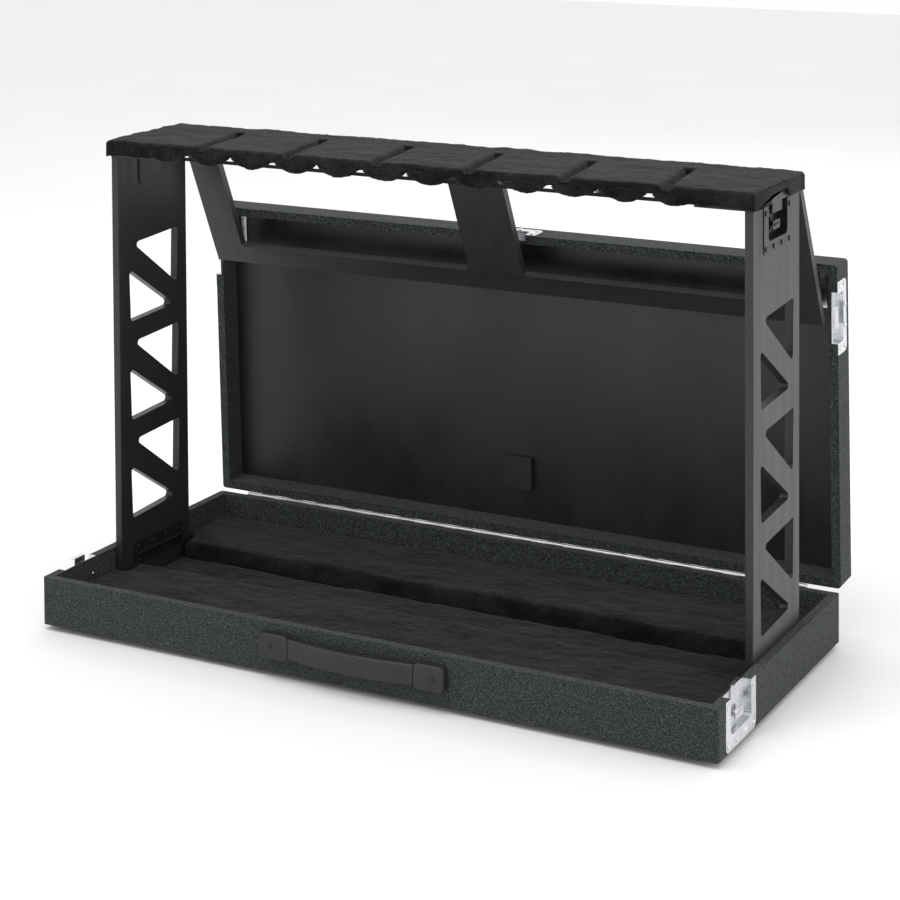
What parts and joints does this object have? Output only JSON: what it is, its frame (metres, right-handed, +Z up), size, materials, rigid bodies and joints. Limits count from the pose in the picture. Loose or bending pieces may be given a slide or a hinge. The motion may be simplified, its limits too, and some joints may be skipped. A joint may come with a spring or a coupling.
{
  "type": "guitar rack",
  "caption": "Folding carpeted case that opens into a floor rack: pierced uprights carry a plush-lined yoke whose slots hold instruments by the neck, with a tilting brace",
  "frame": {"origin": "middle of the overall box on the floor under the rubber feet", "axes": "+Z up, +Y from the handle side towards the open lid, +X along the case to the right seen from the handle side"},
  "size_m": [1.0456, 0.5341, 0.692],
  "materials": {
    "ply_black": "satin black paint",
    "ply_case": "raw edge stained black",
    "carpet": "heather needle-punch carpet",
    "plush": "short pile plush",
    "hardboard": "smooth black hardboard",
    "zinc": "bright plated",
    "black_steel": "black plated",
    "nickel": "nickel plated",
    "rubber": "matte",
    "strap": "woven elastic"
  },
  "bodies": {
    "base": {"base_floor": "ply_case", "base_front_wall": "ply_case", "base_back_wall": "ply_case", "base_left_wall": "ply_case", "base_right_wall": "ply_case", "base_carpet": "carpet", "rubber_feet": "rubber", "front_pad": "plush", "rear_pad": "plush", "trough_lining": "plush", "left_cleat": "ply_black", "right_cleat": "ply_black", "handle_caps": "rubber", "handle_grip": "rubber", "handle_screws": "zinc", "base_latch_dishes": "zinc", "base_latch_screws": "zinc", "fold_lower_leaves": "black_steel", "fold_pins": "black_steel", "fold_leaf_screws": "black_steel", "lid_hinge_base_leaf": "nickel", "lid_hinge_pin": "nickel"},
    "lid": {"lid_front_wall": "ply_case", "lid_back_wall": "ply_case", "lid_left_wall": "ply_case", "lid_right_wall": "ply_case", "lid_panel": "hardboard", "lid_carpet": "carpet", "lid_catches": "zinc", "lid_catch_screws": "zinc", "lid_block": "ply_black", "lid_clips": "zinc", "lid_hinge_lid_leaf": "nickel"},
    "left_upright_body": {"left_upright": "ply_black", "left_upright_latch": "black_steel", "left_upright_screws": "black_steel", "left_fold_leaf": "black_steel"},
    "right_upright_body": {"right_upright": "ply_black", "right_upright_latch": "black_steel", "right_upright_screws": "black_steel", "right_fold_leaf": "black_steel"},
    "yoke": {"yoke_board": "ply_black", "yoke_plush": "plush", "neck_flaps": "plush", "neck_strap": "strap", "yoke_keepers": "black_steel", "brace_yoke_leaves": "black_steel", "brace_hinge_pins": "black_steel"},
    "brace": {"brace_panel": "ply_black", "brace_leaves": "black_steel"},
    "left_base_key_body": {"left_base_key": "zinc"},
    "left_base_hook_body": {"left_base_hook": "zinc"},
    "right_base_key_body": {"right_base_key": "zinc"},
    "right_base_hook_body": {"right_base_hook": "zinc"},
    "left_upright_key_body": {"left_upright_key": "black_steel"},
    "left_upright_hook_body": {"left_upright_hook": "black_steel"},
    "right_upright_key_body": {"right_upright_key": "black_steel"},
    "right_upright_hook_body": {"right_upright_hook": "black_steel"}
  },
  "joints": [
    {"name": "lid_hinge", "type": "hinge", "parent": "base", "child": "lid", "pos_m": [0, 0.22043, 0.0768], "axis": [-1, 0, 0], "range_deg": [-3, 92]},
    {"name": "yoke_lift", "type": "slide", "parent": "base", "child": "yoke", "axis": [0, 0, 1], "range_m": [0, 0.25]},
    {"name": "brace_hinge", "type": "hinge", "parent": "yoke", "child": "brace", "pos_m": [0, 0.09293, 0.6615], "axis": [1, 0, 0], "range_deg": [-24, 8]},
    {"name": "left_fold", "type": "hinge", "parent": "base", "child": "left_upright_body", "pos_m": [-0.4915, 0.00393, 0.056], "axis": [0, 1, 0], "range_deg": [0, 90]},
    {"name": "right_fold", "type": "hinge", "parent": "base", "child": "right_upright_body", "pos_m": [0.4915, 0.00393, 0.074], "axis": [0, -1, 0], "range_deg": [0, 90]},
    {"name": "left_base_latch_turn", "type": "hinge", "parent": "base", "child": "left_base_key_body", "pos_m": [-0.52, -0.17007, 0.046], "axis": [-1, 0, 0], "range_deg": [0, 184]},
    {"name": "left_base_latch_draw", "type": "slide", "parent": "base", "child": "left_base_hook_body", "axis": [0, 0, -1], "range_m": [0, 0.004]},
    {"name": "right_base_latch_turn", "type": "hinge", "parent": "base", "child": "right_base_key_body", "pos_m": [0.52, -0.17007, 0.046], "axis": [1, 0, 0], "range_deg": [0, 184]},
    {"name": "right_base_latch_draw", "type": "slide", "parent": "base", "child": "right_base_hook_body", "axis": [0, 0, -1], "range_m": [0, 0.004]},
    {"name": "left_upright_latch_turn", "type": "hinge", "parent": "left_upright_body", "child": "left_upright_key_body", "pos_m": [-0.5063, 0.00093, 0.6335], "axis": [-1, 0, 0], "range_deg": [0, 184]},
    {"name": "left_upright_latch_draw", "type": "slide", "parent": "left_upright_body", "child": "left_upright_hook_body", "axis": [0, 0, 1], "range_m": [0, 0.004]},
    {"name": "right_upright_latch_turn", "type": "hinge", "parent": "right_upright_body", "child": "right_upright_key_body", "pos_m": [0.5063, 0.00093, 0.6335], "axis": [1, 0, 0], "range_deg": [0, 184]},
    {"name": "right_upright_latch_draw", "type": "slide", "parent": "right_upright_body", "child": "right_upright_hook_body", "axis": [0, 0, 1], "range_m": [0, 0.004]}
  ],
  "couplings": [
    {"joint": "left_base_latch_turn", "follows": "left_base_latch_draw", "rad_per_m": 785.4},
    {"joint": "right_base_latch_turn", "follows": "right_base_latch_draw", "rad_per_m": 785.4},
    {"joint": "left_upright_latch_turn", "follows": "left_upright_latch_draw", "rad_per_m": 785.4},
    {"joint": "right_upright_latch_turn", "follows": "right_upright_latch_draw", "rad_per_m": 785.4}
  ]
}
